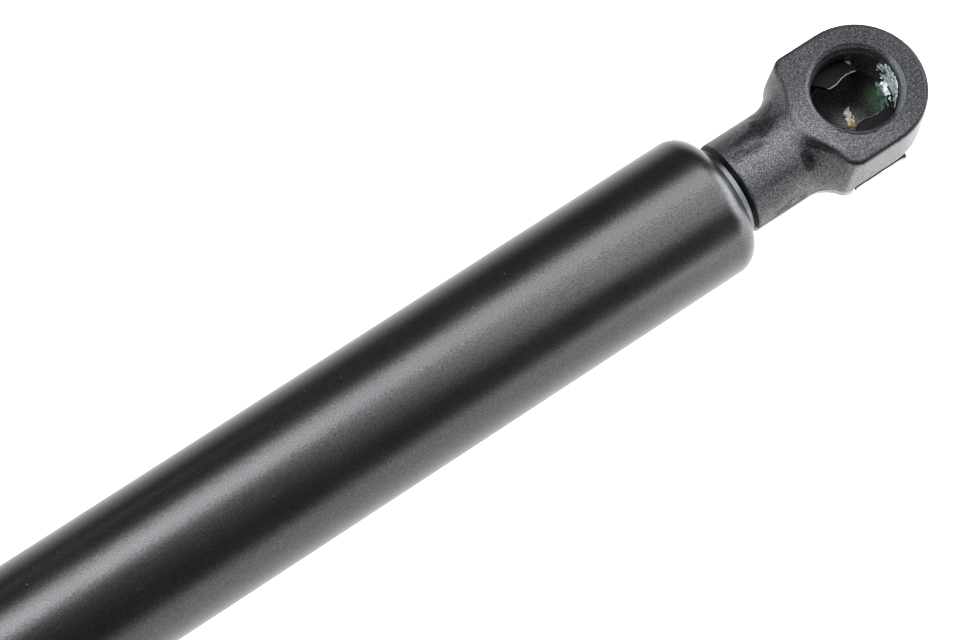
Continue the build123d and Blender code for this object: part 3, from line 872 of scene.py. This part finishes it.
def wallFlakes():
    # flakes that the ball pushed up the mouth's far wall; angles in degrees, the rest in mm
    film = {"from": 131, "to": 201, "low": -2.0, "high": 6.3, "r": 5.4, "seat": 4.96, "lump": 0.14,
            "seatTop": 1.9, "wallFrom": 1.8, "wallBlend": 0.5, "edge": 0.16, "thickness": 0.04}

    def measured(u, v):
        return (film["from"] + (film["to"] - film["from"]) * u,
                film["low"] + (film["high"] - film["low"]) * v)

    def spot(u, v):
        degrees, z = measured(u, v)
        angle = math.radians(degrees)
        seat = math.sqrt(film["seat"] ** 2 - min(z, film["seatTop"]) ** 2)
        r = seat + (film["r"] - seat) * min(1, max(0, (z - film["wallFrom"]) / film["wallBlend"]))
        r -= film["lump"] * (0.5 + ripple(u, v, 20, 24, 3.1))
        return (r * math.cos(angle), r * math.sin(angle), z)

    # each clump: its middle (degrees, mm) and its half sizes
    clumps = (((167, 4.3), (29, 2.3)), ((173, 1.2), (15, 2.9)), ((150, -0.4), (5, 1.5)))

    def keep(u, v):
        degrees, z = measured(u, v)
        rim = max(1 - ((degrees - a) / aHalf) ** 2 - ((z - b) / bHalf) ** 2
                  for (a, b), (aHalf, bHalf) in clumps)
        tear = ripple(u, v, 9, 11, 1.7) + 0.9 * ripple(u, v, 12, 46, 5.2)
        return rim * 0.8 + tear > film["edge"]

    counts = ((120, 140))
    tornFilm("base_mouth_grease", counts, spot, keep, film["thickness"], materials["wallGrease"],
             "cylinder")


def seatFleck():
    # one dried fleck on the seat's floor
    film = {"start": (-1.5, -2.1), "end": (-0.75, 0.6), "half": 0.62, "r": 4.96, "lump": 0.12,
            "edge": 0.35, "thickness": 0.04, "counts": (60, 34)}

    def spot(u, v):
        (x0, y0), (x1, y1) = film["start"], film["end"]
        length = math.hypot(x1 - x0, y1 - y0)
        side = (2 * v - 1) * film["half"]
        x = x0 + (x1 - x0) * u - (y1 - y0) / length * side
        y = y0 + (y1 - y0) * u + (x1 - x0) / length * side
        r = film["r"] - film["lump"] * (0.5 + ripple(u, v, 9, 5, 7.7))
        return (x, y, -math.sqrt(r * r - x * x - y * y))

    def keep(u, v):
        x, y = (u - 0.5) / 0.5, (v - 0.5) / 0.5
        tear = ripple(u, v, 7, 4, 9.4) + 0.6 * ripple(u, v, 20, 12, 2.2)
        return 1 - (x * x + y * y) + tear > film["edge"]

    tornFilm("base_seat_grease", film["counts"], spot, keep, film["thickness"],
             materials["seatGrease"], "cylinder")


def bareCorner():
    # the -Y jaw's corner, where the strip was sheared to a bright little triangle
    corner = {"top": 3.34, "points": [(-2.35, -4.92), (-3.08, -4.66), (-2.72, -4.05)], "depth": 0.1}
    top = [(x * mm, y * mm, corner["top"] * mm) for x, y in corner["points"]]
    low = [(x, y, z - corner["depth"] * mm) for x, y, z in top]
    mesh = bpy.data.meshes.new("base_clip_sheared_corner")
    mesh.from_pydata(top + low, [], [(0, 1, 2), (3, 5, 4), (0, 3, 4, 1), (1, 4, 5, 2), (2, 5, 3, 0)])
    finishMesh(mesh)
    addPiece("base_clip_sheared_corner", mesh, materials["bareSpring"], "base_clip")


sockets()
clips()
wallFlakes()
seatFleck()
bareCorner()
print("stage: sockets and clips made")


# Inner parts keep their CAD shapes and get their real finishes.

innerFinish = {
    "base_plug_seal_ring": "nitrile", "rod_guide_body": "acetal", "guide_sliding_bush": "bronze",
    "seal_backing_washer": "washerSteel", "rod_seal": "nitrile", "seal_support_ring": "washerSteel",
    "piston_front_disc": "washerSteel", "piston_body": "sinteredIron", "piston_ring": "ringNylon",
    "metering_disc": "washerSteel", "piston_rear_disc": "washerSteel",
}
for node, finish in innerFinish.items():
    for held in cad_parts[node].material_slots:
        held.link = "OBJECT"
        held.material = materials[finish]
print("stage: inner parts finished")


def floorSheet():
    # a lit white table: its glow grows towards +Y and -X, keeps the strut free of a shadow and
    # fades out beyond the -Y side, where its colour is also painted darker as painted shade; half
    # is in metres, the rest of the places in mm
    floor = {"half": 2.4, "z": -9.55,
             "nearY": -60, "midY": 10, "farY": 75, "nearGlow": 0.25, "midGlow": 1.47, "farGlow": 0.53,
             "fadeY": (-150, -78), "dimmest": 0.15, "endX": (-60, 24), "endGlow": 3.0}
    mesh = bpy.data.meshes.new("floor")
    half, z = floor["half"], floor["z"] * mm
    mesh.from_pydata([(-half, -half, z), (half + strutLength, -half, z),
                      (half + strutLength, half, z), (-half, half, z)], [], [(0, 1, 2, 3)])
    material, tree, surface, place = startMaterial("lit_white_acrylic_table", {
        "Base Color": hexColour("#8a8a8a"), "Roughness": 0.9, "Specular IOR Level": 0.2,
        "Emission Color": hexColour("#ffffff")})
    split = addNode(tree, "ShaderNodeSeparateXYZ", {0: place}).outputs
    zone = inMetres({"near": (floor["nearY"], floor["midY"]), "far": (floor["midY"], floor["farY"]),
                     "fadeAndPaintedShade": floor["fadeY"], "end": floor["endX"]})
    glow = addNode(tree, "ShaderNodeMath", {
        0: multiplied(tree, (split[1], zone["near"], (floor["nearGlow"], floor["midGlow"]))),
        1: multiplied(tree, (split[1], zone["far"], (0, floor["farGlow"])))}, operation="ADD")
    fadeAndPaintedShade = multiplied(tree, (split[1], zone["fadeAndPaintedShade"], (floor["dimmest"], 1), "eased"))
    setInputs(tree, surface, {
        "Emission Strength": multiplied(tree, glow, fadeAndPaintedShade,
                                        (split[0], zone["end"], (floor["endGlow"], 1))),
        # the table's colour is painted darker beyond -Y as painted shade, where its glow fades too
        "Base Color": layered(tree, "#5c5c5c", (fadeAndPaintedShade, "#8a8a8a")),
        "Normal": relief(tree, (grain(tree, place, 0.4, 2), 0.01))})
    mesh.materials.append(material)
    sheet = addObject("floor", mesh)


def softbox(name, centre, size, radiance, turn=0.0, aim=None):
    # a flat light, facing down or towards aim; its power follows from the radiance that it shows
    lamp = bpy.data.lights.new(name, "AREA")
    lamp.shape = "RECTANGLE"
    lamp.size, lamp.size_y = size
    lamp.energy = radiance * math.pi * size[0] * size[1]
    lamp.color = (0.955, 0.97, 1.0)  # slightly cool
    light = addObject(name, lamp)
    light.location = centre
    light.rotation_euler = (0, 0, math.radians(turn))
    if aim:
        light.rotation_euler = (Vector(aim) - Vector(centre)).to_track_quat("-Z", "Y").to_euler()
    light.visible_camera = False


def studioWalls():
    # dim room, with a pale wall standing low on the +Y side
    walls = {"dim": 0.14, "pale": 2.0, "low": 0.07, "high": 0.21, "aside": 0.15, "facing": 0.75,
             "tint": (0.94, 0.97, 1.0, 1)}
    world = bpy.data.worlds.new("studio")
    world.use_nodes = True
    tree = world.node_tree
    way = addNode(tree, "ShaderNodeTexCoord").outputs["Generated"]
    split = addNode(tree, "ShaderNodeSeparateXYZ", {0: way}).outputs
    height = multiplied(tree, (split[2], (walls["low"], walls["high"]), (1, 0), "eased"))
    facing = multiplied(
        tree, (split[1], (walls["aside"], walls["facing"]), (0, walls["pale"]), "eased"))
    wall = addNode(tree, "ShaderNodeMath", {0: height, 1: facing, 2: walls["dim"]},
                   operation="MULTIPLY_ADD")
    setInputs(tree, tree.nodes["Background"], {"Color": walls["tint"], "Strength": wall})
    bpy.context.scene.world = world


def lighting():
    # name, middle and size in metres, radiance, turn in degrees or the point that it faces
    softbox("main_softbox", (0.40, -0.22, 0.6), (2.2, 0.40), 7.3)
    softbox("main_softbox_core", (0.13, -0.165, 0.599), (0.30, 0.2), 4.4)
    softbox("side_softbox", (-0.36, 0.18, 0.6), (0.54, 0.54), 5.1, turn=22)
    softbox("end_panel", (-0.8, 0.16, 0.3), (0.85, 0.56), 11.0, aim=(0.02, 0, 0))
    softbox("far_card", (0.95, -0.68, 0.16), (0.8, 0.28), 8.0, aim=(0, 0, 0))
    softbox("low_card", (0.2, -0.9, 0.32), (0.5, 0.15), 0.8, aim=(0.1, 0, 0))
    studioWalls()


def camera():
    # place, aim, sensor and lens in mm, roll in radians, clip in metres
    view = {"place": (140.16, 116.79, 365.77), "aim": (54.718, -3.295, 0.0), "roll": 0.0108,
            "lens": 120.1, "sensor": 36.0, "clip": (0.01, 20.0)}
    spot, aim = Vector(view["place"]) * mm, Vector(view["aim"]) * mm
    ahead = (aim - spot).normalized()
    side = ahead.cross(Vector((0, 0, 1))).normalized()
    up = side.cross(ahead)
    cosRoll, sinRoll = math.cos(view["roll"]), math.sin(view["roll"])
    right, top = side * cosRoll + up * sinRoll, up * cosRoll - side * sinRoll
    turn = Matrix((right, top, -ahead)).transposed()
    data = bpy.data.cameras.new("camera")
    data.sensor_width = view["sensor"]
    data.lens = view["lens"]
    data.clip_start, data.clip_end = view["clip"]
    eye = addObject("camera", data)
    eye.matrix_world = Matrix.Translation(spot) @ turn.to_4x4()
    bpy.context.scene.camera = eye


floorSheet()
lighting()
camera()
bpy.context.scene.view_settings.view_transform = "Standard"
print("stage: floor, light and camera made")
